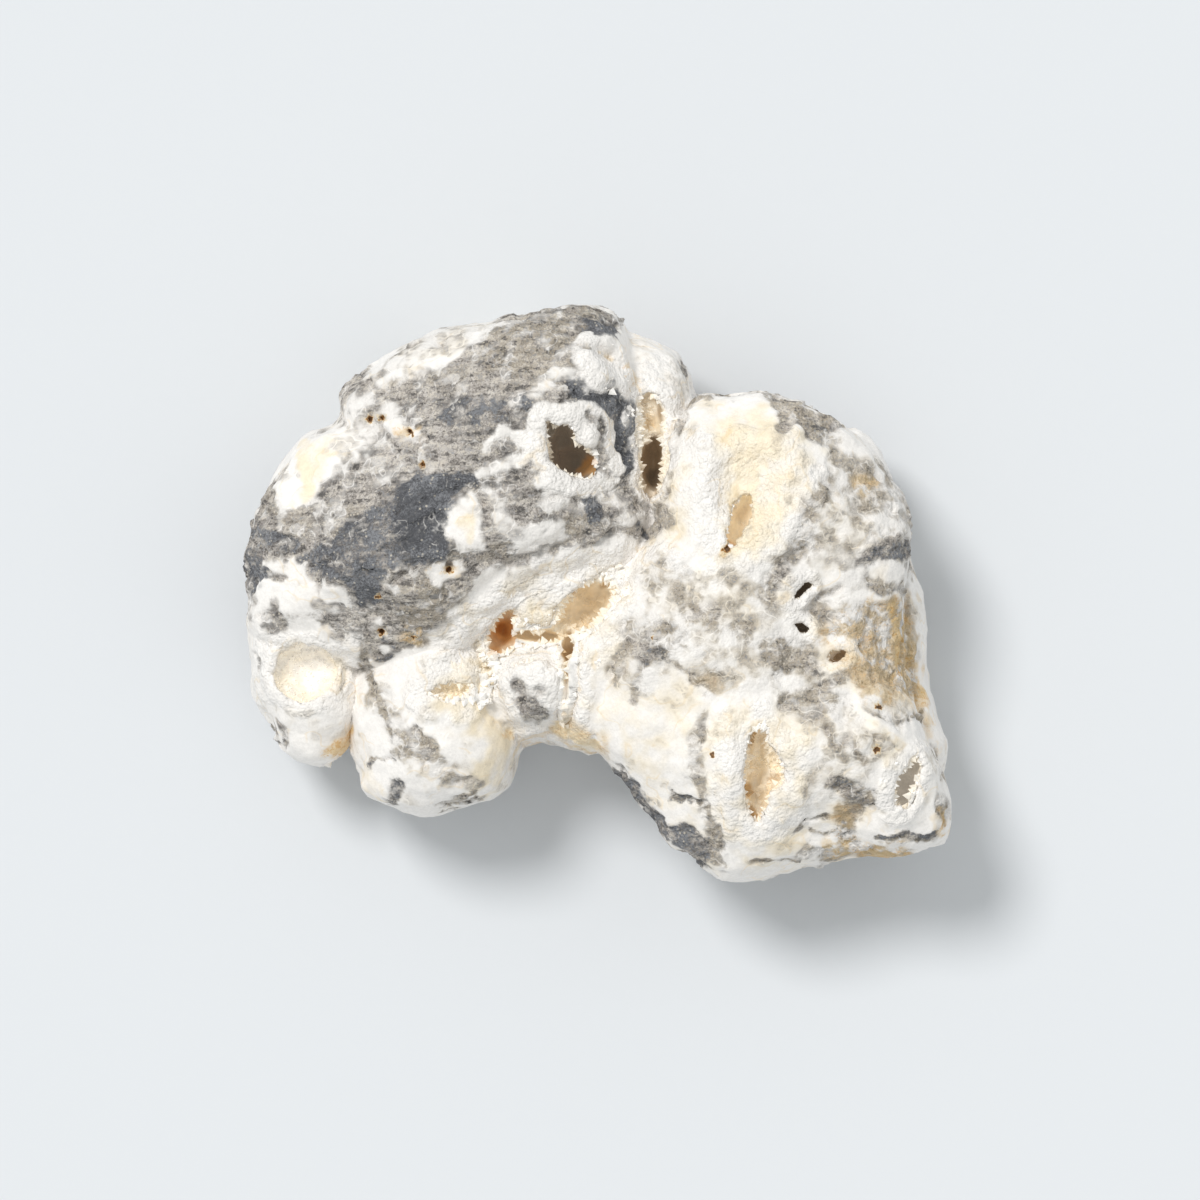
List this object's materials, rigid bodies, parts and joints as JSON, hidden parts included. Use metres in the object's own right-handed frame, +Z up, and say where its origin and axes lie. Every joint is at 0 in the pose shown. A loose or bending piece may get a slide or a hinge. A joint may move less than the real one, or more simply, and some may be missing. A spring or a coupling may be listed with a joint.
{
  "type": "sphalerite mineral specimen",
  "caption": "Lumpy grey sphalerite-bearing vein rock in two joined lobes, with white drusy crystal crusts lining its vugs and clefts; lies flat on its broken base.",
  "frame": {"origin": "middle of the specimen's outline on the surface it lies on", "axes": "+Z up out of the surface it lies on, towards the face the picture shows; +X to the right and +Y to the top of the picture"},
  "size_m": [0.1012, 0.0824, 0.0435],
  "materials": {
    "matrix": "rough broken grey vein rock with white crystalline patches",
    "druse": "sugary white to cream crystal crust, satin"
  },
  "bodies": {
    "root": {"rock": "matrix", "upper_vug_crust": "druse", "upper_cleft_crust": "druse", "basin_crust": "druse", "middle_cleft_crust": "druse", "slot_crust": "druse", "corner_vug_crust": "druse", "left_basin_crust": "druse", "left_hollow_crust": "druse", "upper_slit_crust": "druse", "lower_slit_crust": "druse", "nook_crust": "druse"}
  },
  "joints": []
}
